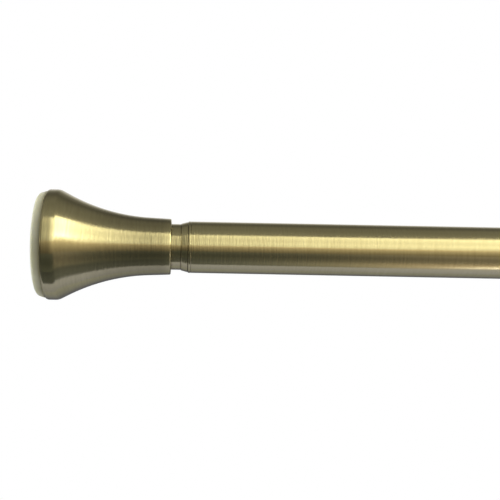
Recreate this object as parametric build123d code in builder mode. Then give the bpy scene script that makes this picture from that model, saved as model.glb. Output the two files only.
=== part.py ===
from build123d import *

import os
from math import asin, atan2, cos, degrees, hypot, radians, sin, sqrt, tan

# Telescopic tension rod for a shower curtain. A thin inner tube slides in an outer tube, each far end
# carries a trumpet-shaped cap with a soft wall pad, and a screw lock inside sets the length.
# The rod lies along +X and +Z is up. The origin is the centre of the left pad's wall face.
# Sizes are in millimetres and degrees.

# Rod
collapsed_length = 1067.0  # wall face to wall face with the tubes pushed together
neck_gap = 4.9  # bare inner tube between the left cap and the collar

# Tubes
outer_tube_diameter = 25.4
outer_tube_wall = 0.5
inner_tube_wall = 0.5
tube_gap = 0.9  # between the two tubes, which the collar bridges
tube_edge_round = 0.4

# Bell, the spun trumpet shell of a cap
bell_length = 60.35
bell_rim_diameter = 54.5
bell_rim_land = 2.85  # straight part of the rim
bell_rim_radius = 6.0  # bend from the rim to the flank
bell_roll_radius = 1.6  # inside of the mouth, which is rolled in
bell_roll_angle = 50.0  # how far the inside is rolled
bell_wall = 0.8
bell_waist = 28.7  # rim to where the lines of the flank and of the neck would meet
bell_flare_share = 0.85  # part of the flank that the flare takes
bell_neck_taper = 2.5
bell_neck_edge_round = 0.7

# Wall pad, a soft cup that snaps into the rolled rim of the bell
pad_thickness = 4.8
pad_inset = 0.3  # how far its back lies below the mouth of the bell
pad_flare = 1.4  # how far its back is wider than its wall face
pad_edge_round = 2.0
pad_face = 3.4  # thickness behind the wall face, in front of the hollow
pad_ring = 5.0  # wall of the ring that snaps in
pad_depth = 4.6  # how far that ring reaches into the bell
pad_bead = 0.35  # how far the snap bead stands out of the ring
pad_bead_ramp = 1.0

# Hub, the moulded carrier between bell and tube
hub_depth = 8.5  # rim of the bell to the front of the web
hub_web = 3.0
hub_rib = 2.0
hub_rib_length = 12.0
hub_rib_count = 6
hub_sleeve_wall = 1.2
hub_sleeve_length = 24.0
hub_neck_recess = 0.6  # the left sleeve stops this short of the bell's neck

# Swivel, the shoulder screw and washer that hold a hub on its tube
shoulder_diameter = 7.0
shoulder_screw_diameter = 5.0
shoulder_screw_length = 14.0
screw_head_diameter = 12.0
screw_head_height = 3.0
screw_head_round = 0.8
screw_socket_size = 4.0
screw_socket_depth = 1.8
swivel_washer_diameter = 16.0
swivel_washer_thickness = 1.0

# Tube plug, pressed into the far end of a tube
plug_head = 2.0
plug_length = 24.0
plug_skirt = 1.8
plug_boss_diameter = 10.0
plug_chamfer = 0.8

# Collar in the mouth of the outer tube, which the inner tube runs through
collar_cone_length = 3.4
collar_lip = 0.15
collar_step = 0.25  # the cone's base lies this far below the outer tube
collar_base_round = 0.12
collar_sleeve_length = 25.0

# Tension screw and the anchor that ties it to the inner tube
tension_screw_diameter = 10.0
tension_screw_travel = 18.0  # how far the lock runs along the screw
tension_screw_tip = 4.5  # from the clip's groove to the end
tension_screw_tip_gap = 13.0  # to the plug in the outer tube
tension_screw_chamfer = 1.0
anchor_length = 25.0
anchor_flange = 2.0
anchor_pin_diameter = 3.0
anchor_pin_wall = 0.6
anchor_pin_setback = 12.0  # from the flange
anchor_pin_recess = 0.3  # below the tube's outside

# Stop on the end of the tension screw
stop_washer_diameter = 18.0
stop_washer_thickness = 1.2
stop_clip_diameter = 15.0
stop_clip_thickness = 1.0
stop_groove_depth = 1.0

# Lock, a cone nut that spreads a split sleeve against the outer tube
nut_head = 5.0
nut_cone_length = 18.0
nut_cone_angle = 8.0
nut_engagement = 10.0  # how far the nut sits in the sleeve
nut_anchor_gap = 1.0
sleeve_length = 32.0
sleeve_finger = 2.4  # wall of the fingers at the mouth
sleeve_pocket = 12.0
sleeve_slot_width = 3.0
sleeve_slot_length = 22.0
sleeve_slot_count = 4
band_width = 4.0
band_thickness = 1.3
band_setback = 3.0  # from the closed end of the sleeve

# Clearances, each on the radius or on one side
press_clearance = 0.03  # pieces pressed or snapped together
running_clearance = 0.05  # screw in its nut, shoulder in its web
sliding_clearance = 0.1  # inner tube in the collar, band in the outer tube
swivel_clearance = 0.3  # cap round its tube
lock_clearance = 0.3  # sleeve in the outer tube

# Radii that follow
outer_tube_radius = outer_tube_diameter / 2
outer_tube_bore = outer_tube_radius - outer_tube_wall
inner_tube_radius = outer_tube_bore - tube_gap
inner_tube_bore = inner_tube_radius - inner_tube_wall
shoulder_radius = shoulder_diameter / 2
tension_screw_radius = tension_screw_diameter / 2
stop_groove_radius = tension_screw_radius - stop_groove_depth

# Cone of the nut in the pocket of the sleeve
cone_slope = tan(radians(nut_cone_angle))
sleeve_outside = outer_tube_bore - lock_clearance
sleeve_mouth = sleeve_outside - sleeve_finger
nut_tip_radius = sleeve_mouth - sliding_clearance - nut_engagement * cone_slope

# Rim and neck of the bell, whose neck clears the outer tube
bell_rim_crest = bell_rim_diameter / 2
bell_roll_outside = bell_roll_radius + bell_wall
bell_roll_length = bell_roll_radius * sin(radians(bell_roll_angle))
bell_neck_bore = outer_tube_radius + swivel_clearance
bell_neck_radius = bell_neck_bore + bell_wall / cos(radians(bell_neck_taper))

# Places in a cap, from its wall face
bell_start = pad_thickness
bell_land_start = bell_start + bell_roll_length
bell_land_end = bell_land_start + bell_rim_land
bell_end = bell_start + bell_length
web_front = bell_start + hub_depth
web_back = web_front + hub_web
plug_face = web_back + swivel_clearance
tube_end = plug_face + plug_head

# Flank of the bell, from the bend of the rim to the waist
bell_waist_place = bell_start + bell_waist
bell_waist_radius = bell_neck_radius + (bell_end - bell_waist_place) * tan(radians(bell_neck_taper))
bell_waist_run = bell_waist_place - bell_land_end
bell_waist_drop = bell_rim_crest - bell_rim_radius - bell_waist_radius
bell_waist_reach = hypot(bell_waist_run, bell_waist_drop)
bell_flank_angle = degrees(asin(bell_rim_radius / bell_waist_reach) + atan2(bell_waist_drop, bell_waist_run))
bell_flank_length = sqrt(bell_waist_reach**2 - bell_rim_radius**2)
bell_flare_turn = radians(bell_flank_angle - bell_neck_taper)
bell_flare_radius = bell_flare_share * bell_flank_length / tan(bell_flare_turn / 2)

# Places along the rod, from the left wall face
collar_start = bell_end + neck_gap
outer_tube_start = collar_start + collar_cone_length
outer_tube_end = collapsed_length - tube_end
screw_tip = outer_tube_end - plug_length - tension_screw_tip_gap
stop_clip_start = screw_tip - tension_screw_tip - stop_clip_thickness
stop_washer_start = stop_clip_start - press_clearance - stop_washer_thickness
sleeve_end = stop_washer_start - swivel_clearance - tension_screw_travel
sleeve_start = sleeve_end - sleeve_length
nut_end = sleeve_start + nut_engagement
nut_start = nut_end - nut_cone_length - nut_head
anchor_face = nut_start - nut_anchor_gap
inner_tube_end = anchor_face - anchor_flange
anchor_pin_place = inner_tube_end - anchor_pin_setback

# Section planes of the two caps: x runs from the wall into the rod, y is the radius
left_cap = Plane(origin=(0, 0, 0), x_dir=(1, 0, 0), z_dir=(0, -1, 0))
right_cap = Plane(origin=(collapsed_length, 0, 0), x_dir=(-1, 0, 0), z_dir=(0, 1, 0))
rod_section = left_cap


def across(x):
    """Plane across the rod at distance x from the left wall face."""
    return Plane.YZ.offset(x)


def bell_lip(inset):
    """Radius of the bell's rolled mouth, inset below its outside."""
    centre_radius = bell_rim_crest - bell_roll_outside
    return centre_radius + sqrt((bell_roll_outside - inset) ** 2 - bell_roll_length**2)


def bell_flank(x, inset):
    """Radius of the bell's straight flank at distance x from the wall, inset below its outside."""
    slope = radians(bell_flank_angle)
    flank_start = bell_land_end + bell_rim_radius * sin(slope)
    flank_radius = bell_rim_crest - bell_rim_radius * (1 - cos(slope))
    return flank_radius - (x - flank_start) * tan(slope) - inset / cos(slope)


def make_bell(cap):
    """Spun shell: rolled mouth, straight rim, straight flank, wide flare and a short neck."""
    lead = degrees(asin(bell_roll_length / bell_roll_outside))
    roll_centre = (bell_land_start, bell_rim_crest - bell_roll_outside)
    bend_centre = (bell_land_end, bell_rim_crest - bell_rim_radius)
    waist = (bell_waist_place, bell_waist_radius)
    neck_edge = (bell_end, bell_neck_radius)
    with BuildPart() as bell:
        with BuildSketch(cap):
            with BuildLine():
                roll = CenterArc(roll_centre, bell_roll_outside, 90 + lead, -lead)
                bend = CenterArc(bend_centre, bell_rim_radius, 90, -bell_flank_angle)
                Line(roll @ 1, bend @ 0)
                flare = FilletPolyline(bend @ 1, waist, neck_edge, radius=bell_flare_radius)
                Polyline(flare @ 1, (bell_end, 0), (bell_start, 0), roll @ 0)
            make_face()
        revolve(axis=Axis.X)
        openings = bell.faces().filter_by(GeomType.PLANE)
        offset(amount=-bell_wall, openings=openings)
        neck_point = cap.from_local_coords((*neck_edge, 0))
        neck_circle = bell.edges().filter_by(GeomType.CIRCLE).sort_by_distance(neck_point)[0]
        fillet(neck_circle, bell_neck_edge_round)
    return bell.part


def make_pad(cap):
    """Soft cup: a flat wall face with a round edge, a flared side and a hollow ring with a snap bead."""
    back_radius = bell_lip(0) - pad_inset
    face_radius = back_radius - pad_flare
    ring_radius = bell_lip(bell_wall) - sliding_clearance
    bead_radius = ring_radius + pad_bead
    hollow_radius = ring_radius - pad_ring
    lip_end = bell_start + bell_wall
    bead_start = lip_end + pad_bead_ramp
    ring_end = bell_start + pad_depth
    bead_end = ring_end - pad_bead_ramp
    with BuildPart() as pad:
        with BuildSketch(cap):
            with BuildLine():
                Polyline(
                    (0, 0),
                    (0, face_radius),
                    (pad_thickness, back_radius),
                    (pad_thickness, ring_radius),
                    (lip_end, ring_radius),
                    (bead_start, bead_radius),
                    (bead_end, bead_radius),
                    (ring_end, ring_radius),
                    (ring_end, hollow_radius),
                    (pad_face, hollow_radius),
                    (pad_face, 0),
                    close=True,
                )
            make_face()
        revolve(axis=Axis.X)
        wall_side = pad.faces().filter_by(GeomType.PLANE).sort_by(SortBy.AREA)[-1]
        fillet(wall_side.edges(), pad_edge_round)
    return pad.part


def make_hub(cap, tube_radius, sleeve_radius, sleeve_end_place):
    """Moulded carrier: a web wedged in the bell's flank, a sleeve round the tube and gusset ribs."""
    bore_radius = tube_radius + swivel_clearance
    hole_radius = shoulder_radius + running_clearance
    seat = bell_wall + press_clearance
    rib_seat = bell_wall + sliding_clearance
    rib_root = (bore_radius + sleeve_radius) / 2
    rib_end = web_back + hub_rib_length
    rib_planes = [cap.rotated((turn * 360 / hub_rib_count, 0, 0)) for turn in range(hub_rib_count)]
    with BuildPart() as hub:
        with BuildSketch(cap):
            with BuildLine():
                Polyline(
                    (web_front, hole_radius),
                    (web_front, bell_flank(web_front, seat)),
                    (web_back, bell_flank(web_back, seat)),
                    (web_back, sleeve_radius),
                    (sleeve_end_place, sleeve_radius),
                    (sleeve_end_place, bore_radius),
                    (web_back, bore_radius),
                    (web_back, hole_radius),
                    close=True,
                )
            make_face()
        revolve(axis=Axis.X)
        with BuildSketch(*rib_planes):
            with BuildLine():
                Polyline(
                    (web_back, rib_root),
                    (web_back, bell_flank(web_back, rib_seat)),
                    (rib_end, bell_flank(rib_end, rib_seat)),
                    (rib_end, rib_root),
                    close=True,
                )
            make_face()
        extrude(amount=hub_rib / 2, both=True)
    return hub.part


def make_swivel_screw(cap):
    """Shoulder screw: round head with a hex socket, plain shoulder in the web, shank in the plug."""
    head_back = web_front - swivel_washer_thickness - press_clearance
    head_front = head_back - screw_head_height
    shank_end = plug_face + shoulder_screw_length
    socket_plane = Plane(origin=cap.from_local_coords((head_front, 0, 0)), z_dir=cap.x_dir)
    with BuildPart() as screw:
        with BuildSketch(cap):
            with BuildLine():
                Polyline(
                    (head_front, 0),
                    (head_front, screw_head_diameter / 2),
                    (head_back, screw_head_diameter / 2),
                    (head_back, shoulder_radius),
                    (plug_face, shoulder_radius),
                    (plug_face, shoulder_screw_diameter / 2),
                    (shank_end, shoulder_screw_diameter / 2),
                    (shank_end, 0),
                    close=True,
                )
            make_face()
        revolve(axis=Axis.X)
        head_edges = screw.edges().filter_by(GeomType.CIRCLE).group_by(SortBy.RADIUS)[-1]
        fillet(head_edges.sort_by_distance(cap.origin)[0], screw_head_round)
        with BuildSketch(socket_plane):
            RegularPolygon(screw_socket_size / 2, 6, major_radius=False)
        extrude(amount=screw_socket_depth, mode=Mode.SUBTRACT)
    return screw.part


def make_swivel_washer(cap):
    """Flat ring between the screw's head and the web."""
    start = web_front - swivel_washer_thickness
    with BuildPart() as washer:
        with BuildSketch(Plane(origin=cap.from_local_coords((start, 0, 0)), z_dir=cap.x_dir)):
            Circle(swivel_washer_diameter / 2)
            Circle(shoulder_radius + sliding_clearance, mode=Mode.SUBTRACT)
        extrude(amount=swivel_washer_thickness)
    return washer.part


def make_tube_plug(cap, tube_radius, tube_bore):
    """Moulded plug: a head on the tube's end, a skirt in its bore and a boss for the screw."""
    body_radius = tube_bore - press_clearance
    body_end = tube_end + plug_length
    boss_radius = plug_boss_diameter / 2
    with BuildPart() as plug:
        with BuildSketch(cap):
            with BuildLine():
                Polyline(
                    (plug_face, shoulder_screw_diameter / 2),
                    (plug_face, tube_radius),
                    (tube_end, tube_radius),
                    (tube_end, body_radius),
                    (body_end - plug_chamfer, body_radius),
                    (body_end, body_radius - plug_chamfer),
                    (body_end, body_radius - plug_skirt),
                    (tube_end + plug_skirt, body_radius - plug_skirt),
                    (tube_end + plug_skirt, boss_radius),
                    (body_end, boss_radius),
                    (body_end, shoulder_screw_diameter / 2),
                    close=True,
                )
            make_face()
        revolve(axis=Axis.X)
    return plug.part


def make_tube(start, end, radius, bore):
    """Plain drawn tube with broken outer edges."""
    with BuildPart() as tube:
        with BuildSketch(across(start)):
            Circle(radius)
            Circle(bore, mode=Mode.SUBTRACT)
        extrude(amount=end - start)
        outer_edges = tube.edges().filter_by(GeomType.CIRCLE).group_by(SortBy.RADIUS)[-1]
        fillet(outer_edges, tube_edge_round)
    return tube.part


def make_inner_tube():
    """Inner tube, drilled through for the pin of the anchor."""
    with BuildPart() as tube:
        add(make_tube(tube_end, inner_tube_end, inner_tube_radius, inner_tube_bore))
        with Locations((anchor_pin_place, 0, 0)):
            Cylinder(
                anchor_pin_diameter / 2 + press_clearance, 2 * inner_tube_radius, mode=Mode.SUBTRACT
            )
    return tube.part


def make_mouth_collar():
    """Turned collar: a cone that leads rings over the tube's edge and a sleeve in its mouth."""
    bore = inner_tube_radius + sliding_clearance
    sleeve_radius = outer_tube_bore - press_clearance
    sleeve_stop = outer_tube_start + collar_sleeve_length
    with BuildPart() as collar:
        with BuildSketch(rod_section):
            with BuildLine():
                Polyline(
                    (collar_start, bore),
                    (collar_start, bore + collar_lip),
                    (outer_tube_start, outer_tube_radius - collar_step),
                    (outer_tube_start, sleeve_radius),
                    (sleeve_stop, sleeve_radius),
                    (sleeve_stop, bore),
                    close=True,
                )
            make_face()
        revolve(axis=Axis.X)
        base_edge = collar.edges().filter_by(GeomType.CIRCLE).group_by(SortBy.RADIUS)[-1]
        fillet(base_edge, collar_base_round)
    return collar.part


def make_screw_anchor():
    """Plug pinned into the inner tube's end, which holds the tension screw."""
    body_radius = inner_tube_bore - press_clearance
    body_start = inner_tube_end - anchor_length
    with BuildPart() as anchor:
        with BuildSketch(rod_section):
            with BuildLine():
                Polyline(
                    (body_start, tension_screw_radius + press_clearance),
                    (body_start, body_radius),
                    (inner_tube_end, body_radius),
                    (inner_tube_end, inner_tube_radius),
                    (anchor_face, inner_tube_radius),
                    (anchor_face, tension_screw_radius + press_clearance),
                    close=True,
                )
            make_face()
        revolve(axis=Axis.X)
        with Locations((anchor_pin_place, 0, 0)):
            Cylinder(
                anchor_pin_diameter / 2 + press_clearance, 2 * inner_tube_radius, mode=Mode.SUBTRACT
            )
    return anchor.part


def make_anchor_pin():
    """Slotted spring pin through the tube, the anchor and the screw."""
    length = 2 * (inner_tube_radius - anchor_pin_recess)
    bore = anchor_pin_diameter / 2 - anchor_pin_wall
    with BuildPart() as pin:
        with BuildSketch(Plane.XY.offset(-length / 2)):
            with Locations((anchor_pin_place, 0)):
                Circle(anchor_pin_diameter / 2)
                Circle(bore, mode=Mode.SUBTRACT)
                Rectangle(
                    anchor_pin_diameter,
                    anchor_pin_wall,
                    align=(Align.MIN, Align.CENTER),
                    mode=Mode.SUBTRACT,
                )
        extrude(amount=length)
    return pin.part


def make_tension_screw():
    """Screw fixed in the anchor, with a groove for the clip near its tip."""
    start = inner_tube_end - anchor_length
    groove_end = stop_clip_start + stop_clip_thickness
    with BuildPart() as screw:
        with BuildSketch(rod_section):
            with BuildLine():
                Polyline(
                    (start, 0),
                    (start, tension_screw_radius),
                    (stop_clip_start, tension_screw_radius),
                    (stop_clip_start, stop_groove_radius),
                    (groove_end, stop_groove_radius),
                    (groove_end, tension_screw_radius),
                    (screw_tip - tension_screw_chamfer, tension_screw_radius),
                    (screw_tip, tension_screw_radius - tension_screw_chamfer),
                    (screw_tip, 0),
                    close=True,
                )
            make_face()
        revolve(axis=Axis.X)
        with Locations((anchor_pin_place, 0, 0)):
            Cylinder(
                anchor_pin_diameter / 2 + press_clearance, tension_screw_diameter, mode=Mode.SUBTRACT
            )
    return screw.part


def make_stop_washer():
    """Loose washer that drags the sleeve along when the tubes are pulled apart."""
    with BuildPart() as washer:
        with BuildSketch(across(stop_washer_start)):
            Circle(stop_washer_diameter / 2)
            Circle(tension_screw_radius + sliding_clearance, mode=Mode.SUBTRACT)
        extrude(amount=stop_washer_thickness)
    return washer.part


def make_stop_clip():
    """Open clip that snaps into the groove of the tension screw."""
    groove = stop_groove_radius + press_clearance
    with BuildPart() as clip:
        with BuildSketch(across(stop_clip_start + press_clearance)):
            Circle(stop_clip_diameter / 2)
            Circle(groove, mode=Mode.SUBTRACT)
            Rectangle(
                stop_clip_diameter,
                2 * groove - stop_groove_depth,
                align=(Align.MIN, Align.CENTER),
                mode=Mode.SUBTRACT,
            )
        extrude(amount=stop_clip_thickness - 2 * press_clearance)
    return clip.part


def make_cone_nut():
    """Threaded cone, with keys that sit in the slots of the sleeve and stop it from turning."""
    head_radius = nut_tip_radius + nut_cone_length * cone_slope
    cone_start = nut_start + nut_head
    bore = tension_screw_radius + running_clearance
    key_radius = outer_tube_bore - 2 * lock_clearance
    key_width = sleeve_slot_width - 2 * sliding_clearance
    key_planes = [
        rod_section.rotated((turn * 360 / sleeve_slot_count, 0, 0)) for turn in range(sleeve_slot_count)
    ]
    with BuildPart() as nut:
        with BuildSketch(rod_section):
            with BuildLine():
                Polyline(
                    (nut_start, bore),
                    (nut_start, head_radius),
                    (cone_start, head_radius),
                    (nut_end, nut_tip_radius),
                    (nut_end, bore),
                    close=True,
                )
            make_face()
        revolve(axis=Axis.X)
        with BuildSketch(*key_planes):
            with BuildLine():
                Polyline(
                    (nut_start, nut_tip_radius - running_clearance),
                    (nut_start, key_radius),
                    (nut_end, key_radius),
                    (nut_end, nut_tip_radius - running_clearance),
                    close=True,
                )
            make_face()
        extrude(amount=key_width / 2, both=True)
    return nut.part


def make_expander_sleeve():
    """Split sleeve: a tapered pocket for the cone, spreading fingers and a groove for the band."""
    pocket_end = sleeve_start + sleeve_pocket
    bore = tension_screw_radius + swivel_clearance
    groove_end = sleeve_end - band_setback
    groove_start = groove_end - band_width
    groove_floor = sleeve_outside - band_thickness
    slot_planes = [
        rod_section.rotated((turn * 360 / sleeve_slot_count, 0, 0)) for turn in range(sleeve_slot_count)
    ]
    with BuildPart() as sleeve:
        with BuildSketch(rod_section):
            with BuildLine():
                Polyline(
                    (sleeve_start, sleeve_mouth),
                    (sleeve_start, sleeve_outside),
                    (groove_start, sleeve_outside),
                    (groove_start, groove_floor),
                    (groove_end, groove_floor),
                    (groove_end, sleeve_outside),
                    (sleeve_end, sleeve_outside),
                    (sleeve_end, bore),
                    (pocket_end, bore),
                    (pocket_end, sleeve_mouth - sleeve_pocket * cone_slope),
                    close=True,
                )
            make_face()
        revolve(axis=Axis.X)
        with BuildSketch(*slot_planes):
            with Locations((sleeve_start, 0)):
                Rectangle(sleeve_slot_length, outer_tube_bore, align=Align.MIN)
        extrude(amount=sleeve_slot_width / 2, both=True, mode=Mode.SUBTRACT)
    return sleeve.part


def make_friction_band():
    """Rubber band in the sleeve's groove, which drags on the outer tube so that the nut can't spin."""
    outside = outer_tube_bore - sliding_clearance
    groove_end = sleeve_end - band_setback
    with BuildPart() as band:
        with BuildSketch(across(groove_end - band_width + press_clearance)):
            Circle(outside)
            Circle(sleeve_outside - band_thickness + press_clearance, mode=Mode.SUBTRACT)
        extrude(amount=band_width - 2 * press_clearance)
    return band.part


# The left sleeve fills the bell's neck, and the right one is a short sleeve round the thicker tube
left_sleeve_radius = bell_neck_bore - press_clearance
left_sleeve_end = bell_end - hub_neck_recess
right_sleeve_radius = outer_tube_radius + swivel_clearance + hub_sleeve_wall
right_sleeve_end = web_back + hub_sleeve_length

pieces = {
    "left_bell": make_bell(left_cap),
    "left_pad": make_pad(left_cap),
    "left_hub": make_hub(left_cap, inner_tube_radius, left_sleeve_radius, left_sleeve_end),
    "left_swivel_screw": make_swivel_screw(left_cap),
    "left_swivel_washer": make_swivel_washer(left_cap),
    "left_tube_plug": make_tube_plug(left_cap, inner_tube_radius, inner_tube_bore),
    "inner_tube": make_inner_tube(),
    "screw_anchor": make_screw_anchor(),
    "anchor_pin": make_anchor_pin(),
    "tension_screw": make_tension_screw(),
    "stop_washer": make_stop_washer(),
    "stop_clip": make_stop_clip(),
    "cone_nut": make_cone_nut(),
    "expander_sleeve": make_expander_sleeve(),
    "friction_band": make_friction_band(),
    "mouth_collar": make_mouth_collar(),
    "outer_tube": make_tube(outer_tube_start, outer_tube_end, outer_tube_radius, outer_tube_bore),
    "right_tube_plug": make_tube_plug(right_cap, outer_tube_radius, outer_tube_bore),
    "right_swivel_washer": make_swivel_washer(right_cap),
    "right_swivel_screw": make_swivel_screw(right_cap),
    "right_hub": make_hub(right_cap, outer_tube_radius, right_sleeve_radius, right_sleeve_end),
    "right_bell": make_bell(right_cap),
    "right_pad": make_pad(right_cap),
}

os.makedirs("parts", exist_ok=True)
for name, piece in pieces.items():
    piece.label = name
    export_step(piece, f"parts/{name}.step")
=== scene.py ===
import math

import bmesh
import bpy
from mathutils import Matrix, Vector


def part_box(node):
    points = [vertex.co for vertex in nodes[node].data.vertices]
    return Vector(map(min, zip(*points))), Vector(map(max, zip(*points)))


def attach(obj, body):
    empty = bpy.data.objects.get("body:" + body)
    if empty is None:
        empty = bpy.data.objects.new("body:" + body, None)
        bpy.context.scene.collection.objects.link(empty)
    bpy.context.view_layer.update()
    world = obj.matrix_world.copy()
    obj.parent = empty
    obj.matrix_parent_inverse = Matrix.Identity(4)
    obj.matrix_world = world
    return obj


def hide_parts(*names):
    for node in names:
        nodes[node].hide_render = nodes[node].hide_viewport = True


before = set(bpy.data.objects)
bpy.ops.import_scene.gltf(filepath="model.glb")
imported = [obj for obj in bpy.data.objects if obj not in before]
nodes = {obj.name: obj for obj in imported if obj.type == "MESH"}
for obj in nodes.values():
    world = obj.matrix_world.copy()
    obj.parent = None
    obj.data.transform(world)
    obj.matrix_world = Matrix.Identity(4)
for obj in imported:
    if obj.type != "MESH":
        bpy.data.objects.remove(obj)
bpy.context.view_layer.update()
mm = 0.001  # pieces and finishes are given in mm and degrees, the studio in m and degrees
scene = bpy.context.scene
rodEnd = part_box("right_pad")[1].x
print("frame loaded:", len(nodes), "CAD nodes")


def linearColour(hexCode):  # sRGB hex to linear RGBA
    channels = [int(hexCode[i : i + 2], 16) / 255 for i in (1, 3, 5)]
    return [c / 12.92 if c <= 0.04045 else ((c + 0.055) / 1.055) ** 2.4 for c in channels] + [1.0]


def grey(level):  # a linear level as RGBA
    return (level, level, level, 1)


def addNode(tree, kind, inputs=None, stops=(), **settings):
    # inputs are values or the sockets they come from, and stops are those of a colour ramp
    node = tree.nodes.new(kind)
    for key, value in settings.items():
        setattr(node, key, value)
    for key, value in (inputs or {}).items():
        if isinstance(value, bpy.types.NodeSocket):
            tree.links.new(value, node.inputs[key])
        else:
            node.inputs[key].default_value = value
    for i, (place, colour) in enumerate(stops):
        elements = node.color_ramp.elements
        element = elements[i] if i < len(elements) else elements.new(place)
        element.position = place
        element.color = colour
    return node


def newMaterial(name):
    material = bpy.data.materials.new(name)
    material.use_nodes = True
    material.node_tree.nodes.clear()
    return material, material.node_tree


def shadeFromWalls(tree, stops):  # colours by the mm from the nearer wall
    place = addNode(tree, "ShaderNodeTexCoord").outputs["Object"]
    along = addNode(tree, "ShaderNodeSeparateXYZ", {"Vector": place}).outputs["X"]
    middle = rodEnd / 2
    aside = addNode(tree, "ShaderNodeMath", {0: along, 1: middle}, operation="SUBTRACT").outputs[0]
    outward = addNode(tree, "ShaderNodeMath", {0: aside}, operation="ABSOLUTE").outputs[0]
    reach = stops[-1][0]
    inward = addNode(
        tree, "ShaderNodeMapRange", {"Value": outward, "From Min": middle, "From Max": middle - reach * mm}
    ).outputs[0]
    shares = [(distance / reach, colour) for distance, colour in stops]
    return addNode(tree, "ShaderNodeValToRGB", {"Fac": inward}, shares).outputs["Color"]


turning = {
    "segments": 192,  # faces round the axis
    "crease": 25.0,  # degrees between two faces from which their edge stays sharp
}


def arc(centre, radius, start, end, steps):  # points on a circle, angles in degrees
    angles = [math.radians(start + (end - start) * i / steps) for i in range(steps + 1)]
    return [(centre[0] + radius * math.cos(a), centre[1] + radius * math.sin(a)) for a in angles]


def lathe(name, profile, end=0.0, way=1.0, closed=True, segments=turning["segments"], cut=None):
    # profile is distance from end and radius, turned round the rod's axis; cut takes a depth off the radius
    bm = bmesh.new()
    rings = []
    for distance, radius in profile:
        x = end + way * distance * mm
        ring = []
        for i in range(segments if radius > 0 else 1):
            angle = 2 * math.pi * i / segments
            turned = (radius - cut(distance, angle) if cut else radius) * mm
            ring.append(bm.verts.new((x, turned * math.cos(angle), turned * math.sin(angle))))
        rings.append(ring)
    pairs = list(zip(rings, rings[1:]))
    if closed:
        pairs.append((rings[-1], rings[0]))
    for near, far in pairs:
        for i in range(segments):
            after = (i + 1) % segments
            walk = ((near, i), (near, after), (far, after), (far, i))
            corners = [ring[place % len(ring)] for ring, place in walk]
            face = list(dict.fromkeys(corners))  # a triangle where a ring is one point on the axis
            if len(face) > 2:
                bm.faces.new(face)
    bmesh.ops.recalc_face_normals(bm, faces=bm.faces)
    for face in bm.faces:
        face.smooth = True
    crease = math.radians(turning["crease"])
    for edge in bm.edges:
        if len(edge.link_faces) == 2 and edge.calc_face_angle() > crease:
            edge.smooth = False
    mesh = bpy.data.meshes.new(name)
    bm.to_mesh(mesh)
    bm.free()
    piece = bpy.data.objects.new(name, mesh)
    scene.collection.objects.link(piece)
    return piece


def dress(piece, body, node, material):  # a new piece that stands for a CAD node
    piece.data.materials.append(material)
    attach(piece, body)
    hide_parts(node)


def paint(material, *names):  # CAD nodes that keep their own mesh
    for name in names:
        nodes[name].data.materials.clear()
        nodes[name].data.materials.append(material)


# Antique brass plating on steel, belt-brushed round the axis and lacquered. The lines draw a reflection
# out along the rod and leave its edges across the rod sharp, corners are darkened by patina and painted
# shade, and the lacquer adds a clear gloss.
brass = {
    "worn": "#c8bb85",  # plating in the brush lines
    "bright": "#d0c48e",  # freshly brushed plating under the lacquer
    "wear": (0.36, 0.62),  # of the pattern, where it is worn and where bright
    "cloudSize": 60.0,
    "cloudShare": 0.3,  # of the pattern; the rest is the brush lines
    "octaves": 4.0,
    "recessPatinaAndShade": "#54462a",  # dark patina in hollows, and painted shade in corners and where parts come close
    "patinaAndShadeReach": 0.8,
    "occlusionOpenness": (0.65, 0.98),  # occlusion at which the patina and painted shade are full, and at which they are gone
    "occlusionSamples": 8,
    "roughness": (0.16, 0.22),
    "polish": (0.35, 0.65),  # of the brush lines, where they are rough and where smooth
    "brushWidth": 0.75,  # a real brush line is 0.05 mm: drawn coarser, or it wouldn't show
    "brushLength": 9.0,
    "brushRaggedness": 0.6,
    "brushDepth": 0.12,  # where the belt pressed with an even hand
    "pressed": [  # mm from a wall, and how hard the belt pressed there
        (0, 0.4), (22, 0.45), (34, 1.5), (75, 1.4), (110, 1.2), (140, 0.7), (200, 0.65),
    ],
    "tone": [  # mm from a wall, and the plating's tone there: darker from the bell's waist to its neck
        (0, 1.0), (24, 1.0), (36, 0.84), (48, 0.78), (61, 0.75), (64.3, 0.92), (65.2, 1.0), (200, 1.0),
    ],
    "anisotropy": 0.85,
    "anisotropyTurn": 0.25,  # the lines run round the rod, so gloss spreads along it
    "lacquer": 0.3,
    "lacquerRoughness": 0.08,
}


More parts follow.
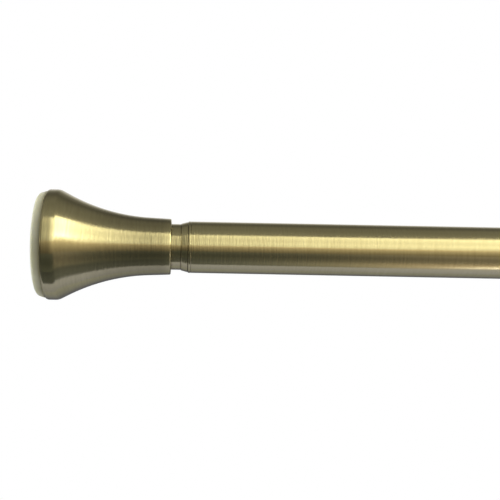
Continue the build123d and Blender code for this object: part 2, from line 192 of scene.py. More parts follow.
def makeBrushedBrass():
    material, tree = newMaterial("antiqueBrassBrushedLacquered")
    place = addNode(tree, "ShaderNodeTexCoord").outputs["Object"]
    length = brass["brushLength"] * mm
    scale = (1 / (brass["brushWidth"] * mm), 1 / length, 1 / length)
    drawn = addNode(tree, "ShaderNodeMapping", {"Vector": place, "Scale": scale}).outputs[0]
    octaves = brass["octaves"]
    ragged = brass["brushRaggedness"]
    brushed = addNode(
        tree, "ShaderNodeTexNoise", {"Vector": drawn, "Scale": 1.0, "Detail": octaves, "Roughness": ragged}
    ).outputs["Fac"]
    cloudScale = 1 / (brass["cloudSize"] * mm)
    cloud = addNode(
        tree, "ShaderNodeTexNoise", {"Vector": place, "Scale": cloudScale, "Detail": octaves}
    ).outputs["Fac"]
    both = addNode(tree, "ShaderNodeMix", {0: brass["cloudShare"], 2: brushed, 3: cloud}).outputs[0]
    finish = zip(brass["wear"], (linearColour(brass["worn"]), linearColour(brass["bright"])))
    plating = addNode(tree, "ShaderNodeValToRGB", {"Fac": both}, finish).outputs["Color"]
    # painted shade: ambient occlusion darkens the plating in corners and near other parts, together with
    # the patina there
    occlusionOpenness = addNode(
        tree,
        "ShaderNodeAmbientOcclusion",
        {"Distance": brass["patinaAndShadeReach"] * mm},
        samples=brass["occlusionSamples"],
    ).outputs["AO"]
    closedLevel, openLevel = brass["occlusionOpenness"]
    unoccluded = addNode(
        tree, "ShaderNodeMapRange", {"Value": occlusionOpenness, "From Min": closedLevel, "From Max": openLevel}
    ).outputs[0]
    patinaAndShade = linearColour(brass["recessPatinaAndShade"])
    platingWithShade = addNode(tree, "ShaderNodeMix", {0: unoccluded, 6: patinaAndShade, 7: plating}, data_type="RGBA").outputs[2]
    pressed = shadeFromWalls(tree, [(distance, grey(level)) for distance, level in brass["pressed"]])
    tone = shadeFromWalls(tree, [(distance, grey(level)) for distance, level in brass["tone"]])
    colour = addNode(
        tree, "ShaderNodeMix", {0: 1.0, 6: platingWithShade, 7: tone}, data_type="RGBA", blend_type="MULTIPLY"
    ).outputs[2]
    smooth, rough = brass["roughness"]
    low, high = brass["polish"]
    roughness = addNode(
        tree,
        "ShaderNodeMapRange",
        {"Value": brushed, "From Min": low, "From Max": high, "To Min": rough, "To Max": smooth},
    ).outputs[0]
    height = addNode(tree, "ShaderNodeMath", {0: brushed, 1: pressed}, operation="MULTIPLY").outputs[0]
    depth = brass["brushDepth"] * mm
    bump = addNode(tree, "ShaderNodeBump", {"Height": height, "Distance": depth}).outputs[0]
    tangent = addNode(tree, "ShaderNodeTangent", direction_type="RADIAL", axis="X").outputs[0]
    lacquer = addNode(tree, "ShaderNodeMath", {0: unoccluded, 1: brass["lacquer"]}, operation="MULTIPLY")
    shader = addNode(
        tree,
        "ShaderNodeBsdfPrincipled",
        {
            "Base Color": colour,
            "Metallic": 1.0,
            "Roughness": roughness,
            "Anisotropic": brass["anisotropy"],
            "Anisotropic Rotation": brass["anisotropyTurn"],
            "Tangent": tangent,
            "Normal": bump,
            "Coat Weight": lacquer.outputs[0],
            "Coat Roughness": brass["lacquerRoughness"],
        },
    )
    addNode(tree, "ShaderNodeOutputMaterial", {"Surface": shader.outputs[0]})
    return material


brassPlate = makeBrushedBrass()

pattern = {
    "range": (0.3, 0.7),  # nearly all of a noise lies in it
    "cloudOctaves": 3.0,
    "grainOctaves": 2.0,
}
mould = {
    "grainDepth": 0.03,
    "lightSpread": (1.0, 0.97, 0.7),  # how far red, green and blue go, as shares of the depth
}


def makeMoulded(name, look):
    # cloudSize is the size of patches in the mix, grain that of the mould's finish, and depth is how far
    # light goes in
    material, tree = newMaterial(name)
    place = addNode(tree, "ShaderNodeTexCoord").outputs["Object"]
    flow = addNode(tree, "ShaderNodeMapping", {"Vector": place, "Scale": look["flow"]}).outputs[0]
    cloudScale = 1 / (look["cloudSize"] * mm)
    cloud = addNode(
        tree, "ShaderNodeTexNoise", {"Vector": flow, "Scale": cloudScale, "Detail": pattern["cloudOctaves"]}
    ).outputs["Fac"]
    grainScale = 1 / (look["grain"] * mm)
    grain = addNode(
        tree,
        "ShaderNodeTexNoise",
        {"Vector": place, "Scale": grainScale, "Detail": pattern["grainOctaves"]},
    ).outputs["Fac"]
    mix = zip(pattern["range"], map(linearColour, look["colours"]))
    colour = addNode(tree, "ShaderNodeValToRGB", {"Fac": cloud}, mix).outputs["Color"]
    # painted shade: the rubber's colour darkens towards the metal, where the bell's rim shades it
    if "paintedShadeToMetal" in look:
        shades = [(distance, linearColour(shade)) for distance, shade in look["paintedShadeToMetal"]]
        paintedShade = shadeFromWalls(tree, shades)
        colour = addNode(
            tree, "ShaderNodeMix", {0: 1.0, 6: colour, 7: paintedShade}, data_type="RGBA", blend_type="MULTIPLY"
        ).outputs[2]
    low, high = pattern["range"]
    smooth, rough = look["roughness"]
    roughness = addNode(
        tree,
        "ShaderNodeMapRange",
        {"Value": grain, "From Min": low, "From Max": high, "To Min": smooth, "To Max": rough},
    ).outputs[0]
    depth = mould["grainDepth"] * mm
    bump = addNode(
        tree, "ShaderNodeBump", {"Height": grain, "Strength": look["bump"], "Distance": depth}
    ).outputs[0]
    shader = addNode(
        tree,
        "ShaderNodeBsdfPrincipled",
        {
            "Base Color": colour,
            "Roughness": roughness,
            "IOR": look["ior"],
            "Normal": bump,
            "Subsurface Weight": look["glow"],
            "Subsurface Radius": mould["lightSpread"],
            "Subsurface Scale": look["depth"] * mm,
        },
    )
    addNode(tree, "ShaderNodeOutputMaterial", {"Surface": shader.outputs[0]})
    return material


# Thermoplastic rubber from a spark-finished mould: milky, with a dull, soft gloss. Light shows through its
# edge, and painted shade darkens it towards the metal, where it meets the bell's rim.
padRubber = {
    "colours": ("#d7d6bb", "#e2e1ca"),
    "flow": (1.0, 1.0, 1.0),
    "cloudSize": 9.0,
    "grain": 0.35,  # a spark finish is 0.03 mm: drawn coarser, or it wouldn't show
    "roughness": (0.4, 0.52),
    "bump": 0.15,
    "ior": 1.5,
    "glow": 1.0,
    "depth": 2.5,
    "paintedShadeToMetal": [  # mm from the wall face to the metal, with the painted shade there
        (0.0, "#ffffff"), (1.44, "#f0f0ed"), (2.4, "#e1dfdb"), (3.36, "#cecbc2"), (4.224, "#aaa493"),
        (4.8, "#9a907c"),
    ],
}
# Natural acetal, injection moulded: dense waxy white with faint flow marks and a low sheen.
acetal = {
    "colours": ("#dad6ca", "#e6e3d9"),
    "flow": (0.3, 1.0, 1.0),
    "cloudSize": 6.0,
    "grain": 0.25,
    "roughness": (0.32, 0.42),
    "bump": 0.1,
    "ior": 1.48,
    "glow": 0.15,
    "depth": 1.0,
}
# Glass-filled nylon, injection moulded: grey and dull, with short pale fibre streaks along the flow.
filledNylon = {
    "colours": ("#56585b", "#76787b"),
    "flow": (0.15, 1.0, 1.0),
    "cloudSize": 0.5,  # a fibre is 0.01 mm across: drawn coarser, or it wouldn't show
    "grain": 0.2,
    "roughness": (0.5, 0.66),
    "bump": 0.25,
    "ior": 1.53,
    "glow": 0.0,
    "depth": 1.0,
}
# Nitrile rubber, moulded: black and matt with a dusty bloom in patches.
nitrile = {
    "colours": ("#1b1b1c", "#2c2c2d"),
    "flow": (1.0, 1.0, 1.0),
    "cloudSize": 3.0,
    "grain": 0.2,
    "roughness": (0.6, 0.75),
    "bump": 0.3,
    "ior": 1.52,
    "glow": 0.0,
    "depth": 1.0,
}
padMaterial = makeMoulded("thermoplasticRubberMoulded", padRubber)
acetalMaterial = makeMoulded("acetalMoulded", acetal)
nylonMaterial = makeMoulded("glassFilledNylonMoulded", filledNylon)
nitrileMaterial = makeMoulded("nitrileRubberMoulded", nitrile)

# Turned steel with bright zinc plating: cool silver, fine tool marks round the axis, and a faint patchy
# bloom.
zinc = {
    "colours": ("#a9aeb2", "#cdd1d3"),
    "roughness": (0.26, 0.4),
    "turnedWidth": 0.2,  # a tool mark is 0.08 mm: drawn coarser, or it wouldn't show
    "turnedLength": 14.0,
    "turnedDepth": 0.02,
    "bump": 0.2,
    "spangle": 3.0,  # patches of the passivation
}


def makeZincSteel():
    material, tree = newMaterial("steelTurnedZincPlated")
    place = addNode(tree, "ShaderNodeTexCoord").outputs["Object"]
    length = zinc["turnedLength"] * mm
    scale = (1 / (zinc["turnedWidth"] * mm), 1 / length, 1 / length)
    drawn = addNode(tree, "ShaderNodeMapping", {"Vector": place, "Scale": scale}).outputs[0]
    turned = addNode(
        tree, "ShaderNodeTexNoise", {"Vector": drawn, "Scale": 1.0, "Detail": pattern["grainOctaves"]}
    ).outputs["Fac"]
    spangleScale = 1 / (zinc["spangle"] * mm)
    bloom = addNode(
        tree,
        "ShaderNodeTexNoise",
        {"Vector": place, "Scale": spangleScale, "Detail": pattern["cloudOctaves"]},
    ).outputs["Fac"]
    patches = zip(pattern["range"], map(linearColour, zinc["colours"]))
    colour = addNode(tree, "ShaderNodeValToRGB", {"Fac": bloom}, patches).outputs["Color"]
    low, high = pattern["range"]
    smooth, rough = zinc["roughness"]
    roughness = addNode(
        tree,
        "ShaderNodeMapRange",
        {"Value": turned, "From Min": low, "From Max": high, "To Min": smooth, "To Max": rough},
    ).outputs[0]
    depth = zinc["turnedDepth"] * mm
    bump = addNode(
        tree, "ShaderNodeBump", {"Height": turned, "Strength": zinc["bump"], "Distance": depth}
    ).outputs[0]
    shader = addNode(
        tree,
        "ShaderNodeBsdfPrincipled",
        {"Base Color": colour, "Metallic": 1.0, "Roughness": roughness, "Normal": bump},
    )
    addNode(tree, "ShaderNodeOutputMaterial", {"Surface": shader.outputs[0]})
    return material


zincMaterial = makeZincSteel()
paint(acetalMaterial, "left_hub", "right_hub", "expander_sleeve")
paint(nylonMaterial, "left_tube_plug", "right_tube_plug", "screw_anchor", "cone_nut")
paint(nitrileMaterial, "friction_band")
paint(zincMaterial, "left_swivel_screw", "left_swivel_washer", "right_swivel_screw", "right_swivel_washer")
paint(zincMaterial, "anchor_pin", "stop_washer", "stop_clip")
print("materials made")

tubes = {
    "outerRadius": 12.7,
    "innerRadius": 11.3,
    "wall": 0.5,
    "edgeRound": 0.4,
    "edgeSteps": 6,
    "ringPlace": 1.4,  # a fine rolled line round the outer tube's mouth
    "ringWidth": 0.36,
    "ringDepth": 0.1,
}


def makeTube(node, body, radius, ringed):
    low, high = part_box(node)
    length = (high.x - low.x) / mm
    edge = tubes["edgeRound"]
    bore = radius - tubes["wall"]
    outside = arc((edge, radius - edge), edge, 180, 90, tubes["edgeSteps"])
    if ringed:
        half = tubes["ringWidth"] / 2
        outside += [
            (tubes["ringPlace"] - half, radius),
            (tubes["ringPlace"], radius - tubes["ringDepth"]),
            (tubes["ringPlace"] + half, radius),
        ]
    outside += arc((length - edge, radius - edge), edge, 90, 0, tubes["edgeSteps"])
    tube = lathe(node + "Drawn", outside + [(length, bore), (0, bore)], end=low.x)
    dress(tube, body, node, brassPlate)
    return tube


makeTube("outer_tube", "outer", tubes["outerRadius"], True)
innerTube = makeTube("inner_tube", "inner", tubes["innerRadius"], False)

tensionScrew = {
    "radius": 5.0,
    "segments": 64,
    "pitch": 3.0,
    "threadDepth": 0.9,
    "threadFrom": 29.0,  # from the end in the anchor
    "threadShort": 6.5,  # from the tip
    "crestShare": 0.35,  # of the pitch, flat on top of the thread
    "rootShare": 0.35,  # of the pitch, flat at its bottom
    "stepsPerTurn": 12,
    "grooveEnd": 4.5,  # of the clip's groove, from the tip
    "grooveWidth": 1.0,
    "grooveDepth": 1.0,
    "chamfer": 1.0,
}


def makeTensionScrew():
    low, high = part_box("tension_screw")
    length = (high.x - low.x) / mm
    radius = tensionScrew["radius"]
    pitch = tensionScrew["pitch"]
    threadFrom = tensionScrew["threadFrom"]
    threadTo = length - tensionScrew["threadShort"]
    crestFrom = 1 - tensionScrew["crestShare"]

    def threadCut(distance, angle):  # a flat-crested right-hand thread that runs out over one pitch
        across = abs((distance / pitch - angle / (2 * math.pi)) % 1 - 0.5) * 2
        flank = min(max((crestFrom - across) / (crestFrom - tensionScrew["rootShare"]), 0), 1)
        runOut = min(max(min(distance - threadFrom, threadTo - distance) / pitch, 0), 1)
        return tensionScrew["threadDepth"] * flank * runOut

    steps = int((threadTo - threadFrom) / pitch * tensionScrew["stepsPerTurn"])
    threaded = [(threadFrom + (threadTo - threadFrom) * i / steps, radius) for i in range(steps + 1)]
    grooveTo = length - tensionScrew["grooveEnd"]
    grooveFrom = grooveTo - tensionScrew["grooveWidth"]
    grooveRadius = radius - tensionScrew["grooveDepth"]
    chamfer = tensionScrew["chamfer"]
    profile = [
        (0, 0),
        (0, radius),
        *threaded,
        (grooveFrom, radius),
        (grooveFrom, grooveRadius),
        (grooveTo, grooveRadius),
        (grooveTo, radius),
        (length - chamfer, radius),
        (length, radius - chamfer),
        (length, 0),
    ]
    screw = lathe(
        "tension_screwThreaded",
        profile,
        end=low.x,
        closed=False,
        segments=tensionScrew["segments"],
        cut=threadCut,
    )
    dress(screw, "inner", "tension_screw", zincMaterial)
    return screw


screwBar = makeTensionScrew()

pinHole = {
    "radius": 1.53,
    "length": 45.2,  # well through the inner tube
    "segments": 48,
}


def drillAcross(piece, place):  # the anchor pin's hole, up and down through the rod's axis
    bm = bmesh.new()
    bmesh.ops.create_cone(
        bm,
        cap_ends=True,
        segments=pinHole["segments"],
        radius1=pinHole["radius"] * mm,
        radius2=pinHole["radius"] * mm,
        depth=pinHole["length"] * mm,
        matrix=Matrix.Translation((place, 0, 0)),
    )
    mesh = bpy.data.meshes.new("drill")
    bm.to_mesh(mesh)
    bm.free()
    drill = bpy.data.objects.new("drill", mesh)
    scene.collection.objects.link(drill)
    hole = piece.modifiers.new("pinHole", "BOOLEAN")
    hole.operation = "DIFFERENCE"
    hole.object = drill
    drilled = bpy.data.meshes.new_from_object(piece.evaluated_get(bpy.context.evaluated_depsgraph_get()))
    piece.modifiers.clear()
    piece.data = drilled
    bpy.data.objects.remove(drill)


pinLow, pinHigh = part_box("anchor_pin")
pinPlace = pinLow.x + (pinHigh.y - pinLow.y) / 2  # its slot is on the other side
for drilledPiece in (innerTube, screwBar):
    drillAcross(drilledPiece, pinPlace)

bell = {
    "start": 4.8,  # from the wall face
    "length": 60.35,
    "rimRadius": 27.25,
    "rimLand": 2.85,
    "rimBend": 6.0,
    "rollInside": 1.6,
    "rollAngle": 50.0,
    "wall": 0.8,
    "waist": 28.7,  # from the rim to where the lines of flank and neck would meet
    "flareShare": 0.85,  # part of the flank that the flare takes
    "neckBore": 13.0,
    "neckTaper": 2.5,
    "neckEdgeRound": 0.7,
    "outsideSteps": (8, 12, 48, 6),  # on the roll, the bend, the flare and the neck's edge
    "insideSteps": (6, 8, 24),  # on the roll, the bend and the flare
}


def bellProfile():
    # the outside from the rolled mouth to the neck, then back along the inside
    wall = bell["wall"]
    rim = bell["rimRadius"]
    bend = bell["rimBend"]
    roll = bell["rollInside"]
    edge = bell["neckEdgeRound"]
    taper = math.radians(bell["neckTaper"])
    rollLength = roll * math.sin(math.radians(bell["rollAngle"]))
    rollCentre = (bell["start"] + rollLength, rim - roll - wall)
    lead = math.degrees(math.asin(rollLength / (roll + wall)))
    bendCentre = (rollCentre[0] + bell["rimLand"], rim - bend)
    neckEnd = bell["start"] + bell["length"]
    neckRadius = bell["neckBore"] + wall / math.cos(taper)
    waistX = bell["start"] + bell["waist"]
    waistRadius = neckRadius + (neckEnd - waistX) * math.tan(taper)
    run = waistX - bendCentre[0]
    drop = bendCentre[1] - waistRadius
    flank = math.asin(bend / math.hypot(run, drop)) + math.atan2(drop, run)
    reach = bell["flareShare"] * math.sqrt(run**2 + drop**2 - bend**2)  # from the waist to the flare's ends
    flare = reach / math.tan((flank - taper) / 2)
    flareX = waistX - reach * math.cos(flank) + flare * math.sin(flank)
    flareCentre = (flareX, waistRadius + reach * math.sin(flank) + flare * math.cos(flank))
    flareStart = 270 - math.degrees(flank)
    flareEnd = 270 - bell["neckTaper"]
    bendEnd = 90 - math.degrees(flank)
    rollSteps, bendSteps, flareSteps, edgeSteps = bell["outsideSteps"]
    outside = arc(rollCentre, roll + wall, 90 + lead, 90, rollSteps)
    outside += arc(bendCentre, bend, 90, bendEnd, bendSteps)
    outside += arc(flareCentre, flare, flareStart, flareEnd, flareSteps)
    outside += arc((neckEnd - edge, neckRadius - edge), edge, 90 - bell["neckTaper"], 0, edgeSteps)
    rollSteps, bendSteps, flareSteps = bell["insideSteps"]
    inside = arc(rollCentre, roll, 90 + bell["rollAngle"], 90, rollSteps)
    inside += arc(bendCentre, bend - wall, 90, bendEnd, bendSteps)
    inside += arc(flareCentre, flare + wall, flareStart, flareEnd, flareSteps)
    inside += [(neckEnd, bell["neckBore"])]
    return outside + inside[::-1]


pad = {
    "thickness": 4.8,
    "backRadius": 26.61,
    "flare": 1.4,  # how far the back is wider than the wall face
    "edgeRound": 2.0,
    "edgeSteps": 12,
    "faceThickness": 3.4,
    "ringRadius": 25.78,
    "ringWall": 5.0,
    "ringEnd": 9.4,
    "beadFrom": 5.6,
    "beadHeight": 0.35,
    "beadRamp": 1.0,
    "grooves": (7.0, 12.0, 17.0, 22.0),  # radii of the grip grooves in the wall face
    "grooveRound": 0.7,
    "grooveDepth": 0.45,
    "grooveSteps": 8,
}


def padProfile():
    # from the middle of the wall face over the edge, the ring and its bead to the hollow behind
    edge = pad["edgeRound"]
    ring = pad["ringRadius"]
    bead = ring + pad["beadHeight"]
    hollow = ring - pad["ringWall"]
    halfAngle = math.degrees(math.acos(1 - pad["grooveDepth"] / pad["grooveRound"]))
    points = [(0, 0)]
    for radius in pad["grooves"]:
        centre = (pad["grooveDepth"] - pad["grooveRound"], radius)
        points += arc(centre, pad["grooveRound"], -halfAngle, halfAngle, pad["grooveSteps"])
    lean = math.atan2(pad["flare"], pad["thickness"])
    edgeCentre = pad["backRadius"] - pad["flare"] + edge * math.tan(lean) - edge / math.cos(lean)
    points += arc((edge, edgeCentre), edge, 180, 90 + math.degrees(lean), pad["edgeSteps"])
    points += [
        (pad["thickness"], pad["backRadius"]),
        (pad["thickness"], ring),
        (pad["beadFrom"], ring),
        (pad["beadFrom"] + pad["beadRamp"], bead),
        (pad["ringEnd"] - pad["beadRamp"], bead),
        (pad["ringEnd"], ring),
        (pad["ringEnd"], hollow),
        (pad["faceThickness"], hollow),
        (pad["faceThickness"], 0),
    ]
    return points


for side, end, way in (("left", 0.0, 1.0), ("right", rodEnd, -1.0)):
    bellShell = lathe(side + "_bellSpun", bellProfile(), end, way)
    dress(bellShell, side + "_cap", side + "_bell", brassPlate)
    padCup = lathe(side + "_padMoulded", padProfile(), end, way, closed=False)
    dress(padCup, side + "_cap", side + "_pad", padMaterial)

collar = {
    "bore": 11.4,
    "lip": 0.15,
    "line": [(0.05, 0), (0.12, 0.07), (0.38, 0), (0.43, 0)],  # places and depths of a line behind the lip
    "coneLength": 3.4,
    "baseRadius": 12.45,
    "baseRound": 0.3,
    "baseSteps": 6,
    "sleeveRadius": 12.17,
    "sleeveLength": 25.0,
}


def makeCollar():
    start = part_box("mouth_collar")[0].x
    bore = collar["bore"]
    lip = bore + collar["lip"]
    cone = collar["coneLength"]
    sleeve = collar["sleeveRadius"]
    sleeveEnd = cone + collar["sleeveLength"]
    slope = math.atan2(collar["baseRadius"] - bore - collar["lip"], cone)
    edge = collar["baseRound"]
    centre = (cone - edge, collar["baseRadius"] - edge * math.tan(slope) - edge / math.cos(slope))
    profile = [(0, bore), (0, lip)]
    profile += [(place, lip + place * math.tan(slope) - depth) for place, depth in collar["line"]]
    profile += arc(centre, edge, 90 + math.degrees(slope), 0, collar["baseSteps"])
    profile += [(cone, sleeve), (sleeveEnd, sleeve), (sleeveEnd, bore)]
    ring = lathe("mouth_collarTurned", profile, end=start)
    dress(ring, "outer", "mouth_collar", brassPlate)


makeCollar()
print("metal and pads made")

photoView = {
    "across": 104.1,  # mm along the rod in the middle of the picture
    "stand": 70.0,  # mm along the rod where the camera stands, since the picture is cut from a wider one
    "below": 0.84,  # mm that the middle of the picture lies below the axis
    "distance": 380.0,
    "nearest": 10.0,  # nothing nearer is drawn
    "lens": 55.38,
    "sensor": 36.0,
    "roll": 1.11,  # degrees that the rod falls to the right
}


def makeCamera():
    camera = bpy.data.cameras.new("photoCamera")
    camera.lens = photoView["lens"]
    camera.sensor_width = photoView["sensor"]
    camera.clip_start = photoView["nearest"] * mm
    aside = photoView["across"] - photoView["stand"]
    camera.shift_x = aside * photoView["lens"] / (photoView["sensor"] * photoView["distance"])
    holder = bpy.data.objects.new("photoCamera", camera)
    scene.collection.objects.link(holder)
    roll = math.radians(photoView["roll"])
    right = Vector((math.cos(roll), 0, math.sin(roll)))
    up = Vector((-math.sin(roll), 0, math.cos(roll)))
    turn = Matrix((right, up, Vector((0, -1, 0)))).transposed().to_4x4()
    middle = Vector((photoView["across"], -photoView["distance"], -photoView["below"]))
    holder.matrix_world = Matrix.Translation((middle - right * aside) * mm) @ turn
    scene.camera = holder


makeCamera()

white = "#ffffff"
even = [(0.0, 1.0), (1.0, 1.0)]  # the same level all along
stripEnds = (-6.0, 8.0)  # m along the rod


def addCard(name, rows, along, up, tint=white, lights=False, shows=True):
    # a softbox or card, brighter or darker along its two edges; the camera looks past it
    # each row is a share of the card's length with the card's lower and upper corner there
    mesh = bpy.data.meshes.new(name)
    corners = [corner for share, low, high in rows for corner in (low, high)]
    mesh.from_pydata(corners, [], [(2 * i, 2 * i + 2, 2 * i + 3, 2 * i + 1) for i in range(len(rows) - 1)])
    places = mesh.uv_layers.new()
    for loop, place in zip(mesh.loops, places.data):
        row, top = divmod(loop.vertex_index, 2)
        place.uv = (rows[row][0], top)
    card = bpy.data.objects.new(name, mesh)
    scene.collection.objects.link(card)
    material, tree = newMaterial(name)
    uv = addNode(tree, "ShaderNodeTexCoord").outputs["UV"]
    split = addNode(tree, "ShaderNodeSeparateXYZ", {"Vector": uv})
    tinted = []
    for share, level, *own in along:  # a stop may have its own tint
        red, green, blue, solid = linearColour(own[0] if own else tint)
        tinted.append((share, (level * red, level * green, level * blue, solid)))
    levels = [(share, grey(level)) for share, level in up]
    colour = addNode(tree, "ShaderNodeValToRGB", {"Fac": split.outputs["X"]}, tinted).outputs["Color"]
    strength = addNode(tree, "ShaderNodeValToRGB", {"Fac": split.outputs["Y"]}, levels).outputs["Color"]
    glow = addNode(tree, "ShaderNodeEmission", {"Color": colour, "Strength": strength})
    addNode(tree, "ShaderNodeOutputMaterial", {"Surface": glow.outputs[0]})
    mesh.materials.append(material)
    card.visible_camera = False
    card.visible_glossy = shows
    card.visible_diffuse = lights
    card.visible_shadow = lights
    card.visible_transmission = lights


def addStrip(name, strip):
    # a card along the rod that only gloss shows, reach m from the axis
    # its angles are degrees up from the camera's side, and its edges climb by more of them along the rod
    # along is place in m, level and tint; up is angle and level; climb is place, lower and upper edge
    low, high = stripEnds
    bottom, top = strip["angles"]
    reach = strip["reach"]
    climb = strip.get("climb", [(0.0, 0, 0)])
    rows = []
    for x, *climbs in ((low, *climb[0][1:]), *climb, (high, *climb[-1][1:])):
        turns = [math.radians(angle + more) for angle, more in zip(strip["angles"], climbs)]
        edges = [(x, -reach * math.cos(turn), reach * math.sin(turn)) for turn in turns]
        rows.append(((x - low) / (high - low), *edges))
    along = [((x - low) / (high - low), *look) for x, *look in strip["along"]]
    up = [((angle - bottom) / (top - bottom), level) for angle, level in strip["up"]]
    addCard(name, rows, along, up, strip.get("tint", white))


# each card's note says what it gives on the rod
softbox = {  # the broad band of light
    "reach": 3.0,
    "angles": (6, 57),
    "tint": "#fffdf4",
    "along": [
        (-2.4, 0.22), (-1.58, 0.28), (-0.93, 0.38), (-0.49, 0.62), (0.04, 0.86), (0.21, 1.1),
        (0.43, 1.44), (0.76, 1.58), (1.0, 1.5), (1.21, 1.46), (1.42, 1.56), (1.75, 1.62),
        (2.0, 1.9), (2.4, 3.2), (2.7, 4.6), (3.0, 5.2), (4.0, 5.0),
    ],
    "up": [(6, 0.74), (14, 0.92), (22, 1.02), (31, 0.92), (39, 0.95), (49, 1.14), (57, 1.1)],
    "climb": [(1.3, 0, 0), (1.73, 0, 7), (2.2, 0, 15), (3.0, 0, 20)],
}
addStrip("softbox", softbox)

frontWall = {  # the band's soft lower side
    "reach": 0.6,
    "angles": (-20, 8),
    "tint": "#fff0dc",
    "along": [
        (-0.41, 0.4), (-0.22, 0.6), (-0.093, 0.68), (0.062, 0.86), (0.11, 1.1), (0.175, 1.28),
        (0.27, 1.44), (0.46, 1.62), (0.52, 1.8), (1.6, 1.7),
    ],
    "up": [(-20, 0.12), (-15, 0.18), (-8, 0.27), (0, 0.4), (4, 0.53), (8, 0.78)],
    "climb": [(0.47, 0, 0), (0.55, 0, 5), (0.62, 0, 13)],
}
addStrip("frontWall", frontWall)

ceiling = {  # dim above the softbox, so that the band has a clear upper edge
    "reach": 3.0,
    "angles": (57, 118),
    "along": [(1.2, 1.0), (1.8, 1.25)],
    "up": [(57, 0.33), (75, 0.27), (88, 0.22), (100, 0.21), (118, 0.15)],
    "climb": [(x, upper, 0) for x, lower, upper in softbox["climb"]],
}
addStrip("ceiling", ceiling)

backTop = {  # paler again towards the back
    "reach": 0.6,
    "angles": (116, 172),
    "along": even,
    "up": [(116, 0.14), (127, 0.11), (140, 0.2), (154, 0.6), (172, 0.9)],
}
addStrip("backTop", backTop)

frontMat = {  # the dark lower half
    "reach": 0.28,
    "angles": (-60, -18.1),
    "along": [
        (-0.433, 0.75, "#f2fcff"), (-0.025, 0.85, "#f2fcff"), (0.138, 1.0, "#f2fcff"),
        (0.206, 1.5, "#fbf8f8"), (0.285, 2.6, "#fff3ee"), (0.328, 3.0, "#fff3ee"), (0.518, 3.2, "#fff3ee"),
    ],
    "up": [(-60, 0.125), (-53.6, 0.122), (-47.5, 0.106), (-38.2, 0.08), (-31, 0.084), (-18.1, 0.125)],
}
addStrip("frontMat", frontMat)

matEdge = {  # its lower edge, lighter to the right
    "reach": 0.12,
    "angles": (-72, -52),
    "along": [
        (-0.3, 0.55, "#e5efff"), (0.03, 0.58, "#e5efff"), (0.08, 0.72, "#e5efff"),
        (0.12, 1.1, "#e9f1ff"), (0.17, 1.77, "#fcf8f8"), (0.228, 3.1, "#ffeee5"), (0.26, 3.8, "#ffeee5"),
    ],
    "up": [(-72, 0.19), (-64, 0.18), (-52, 0.12)],
    "climb": [(0.225, 0, 0), (0.285, 7, 0)],
}
addStrip("matEdge", matEdge)

matLine = {  # the thin bright line low on the tube
    "reach": 0.12,
    "angles": (-79, -72),
    "along": matEdge["along"][:-1] + [(0.24, 4.8, "#f4f0ff"), (0.262, 20.5, "#f4f0ff")],
    "up": [(-79, 0.15), (-72, 0.19)],
    "climb": [(0.225, 0, 0), (0.285, 7, 7)],
}
addStrip("matLine", matLine)

floorSheet = {  # the paler underside
    "reach": 0.37,
    "angles": (-112, -73),
    "tint": "#cfd4fa",
    "along": [(0.1, 0.95), (0.3, 1.1)],
    "up": [(-112, 0.52), (-103, 0.61), (-79, 0.74), (-73, 0.75)],
}
addStrip("floorSheet", floorSheet)

backLow = {  # darker again towards the back
    "reach": 0.37,
    "angles": (-168, -112),
    "tint": "#e6ecff",
    "along": even,
    "up": [(-168, 0.15), (-145, 0.19), (-132, 0.33), (-118, 0.42), (-112, 0.47)],
}
addStrip("backLow", backLow)

sideLights = {
    "beyond": 0.8,  # past the rod's ends
    "across": (0.7, -0.7),
    "up": (-0.3, 0.9),
    "levels": [(0.0, 1.2), (1.0, 3.2)],  # from the lower edge to the upper one
}
topLight = {
    "along": (-0.7, 1.8),
    "across": (-0.4, 0.8),
    "up": 0.9,
    "levels": [(0.0, 1.7), (1.0, 1.7)],
}


def addLight(name, rows, levels):  # a light that only matt surfaces show
    addCard(name, rows, even, levels, lights=True, shows=False)


bottom, top = sideLights["up"]
for side, x in (("left", -sideLights["beyond"]), ("right", rodEnd + sideLights["beyond"])):
    rows = [(share, (x, y, bottom), (x, y, top)) for share, y in enumerate(sideLights["across"])]
    addLight(side + "Light", rows, sideLights["levels"])
front, back = topLight["across"]
height = topLight["up"]
rows = [(share, (x, front, height), (x, back, height)) for share, x in enumerate(topLight["along"])]
addLight("topLight", rows, topLight["levels"])
print("cards placed")

paleFloor = {
    "halfSize": 6.0,
    "height": -0.45,
    "colour": "#d8d8d4",
    "fade": (0.35, 0.9),  # m across the rod, between which the camera sees it turn to the white background
    "fadeLength": 2.0,  # the fade is so much longer along the rod
    "whiteUnder": 0.5,  # share of white under the rod
}


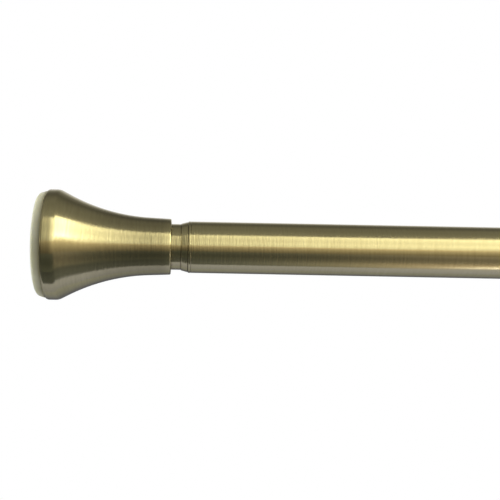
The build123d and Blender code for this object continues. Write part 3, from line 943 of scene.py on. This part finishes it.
def makeFloor():
    half = paleFloor["halfSize"]
    mesh = bpy.data.meshes.new("floor")
    corners = [(-half, -half, 0), (half, -half, 0), (half, half, 0), (-half, half, 0)]
    mesh.from_pydata(corners, [], [(0, 1, 2, 3)])
    floor = bpy.data.objects.new("floor", mesh)
    floor.location = (rodEnd / 2, 0, paleFloor["height"])
    scene.collection.objects.link(floor)
    material, tree = newMaterial("paleStudioFloor")
    path = addNode(tree, "ShaderNodeLightPath")
    place = addNode(tree, "ShaderNodeTexCoord").outputs["Object"]
    scale = (1 / paleFloor["fadeLength"], 1, 1)
    oval = addNode(tree, "ShaderNodeMapping", {"Vector": place, "Scale": scale}).outputs[0]
    distance = addNode(tree, "ShaderNodeVectorMath", {0: oval}, operation="LENGTH").outputs["Value"]
    near, far = paleFloor["fade"]
    under = paleFloor["whiteUnder"]
    fade = addNode(
        tree,
        "ShaderNodeMapRange",
        {"Value": distance, "From Min": near, "From Max": far, "To Min": under, "To Max": 1.0},
    ).outputs[0]
    camera = path.outputs["Is Camera Ray"]
    seen = addNode(tree, "ShaderNodeMath", {0: fade, 1: camera}, operation="MULTIPLY")
    matt = addNode(tree, "ShaderNodeBsdfDiffuse", {"Color": linearColour(paleFloor["colour"])})
    glow = addNode(tree, "ShaderNodeEmission", {"Color": linearColour(white), "Strength": 1.0})
    mix = addNode(tree, "ShaderNodeMixShader", {0: seen.outputs[0], 1: matt.outputs[0], 2: glow.outputs[0]})
    addNode(tree, "ShaderNodeOutputMaterial", {"Surface": mix.outputs[0]})
    mesh.materials.append(material)


makeFloor()

background = {
    "shown": 1.0,  # white to the camera, in gloss and through clear things
    "lighting": 0.1,  # what it adds to the lights
}


def makeWorld():
    world = bpy.data.worlds.new("whiteStudio")
    world.use_nodes = True
    scene.world = world
    tree = world.node_tree
    tree.nodes.clear()
    path = addNode(tree, "ShaderNodeLightPath")
    seen = path.outputs["Is Camera Ray"]
    for ray in ("Is Glossy Ray", "Is Transmission Ray"):
        either = addNode(tree, "ShaderNodeMath", {0: seen, 1: path.outputs[ray]}, operation="MAXIMUM")
        seen = either.outputs[0]
    strength = addNode(
        tree,
        "ShaderNodeMapRange",
        {"Value": seen, "To Min": background["lighting"], "To Max": background["shown"]},
    ).outputs[0]
    sky = addNode(tree, "ShaderNodeBackground", {"Color": linearColour(white), "Strength": strength})
    addNode(tree, "ShaderNodeOutputWorld", {"Surface": sky.outputs[0]})


makeWorld()
scene.view_settings.view_transform = "Standard"
print("studio made")
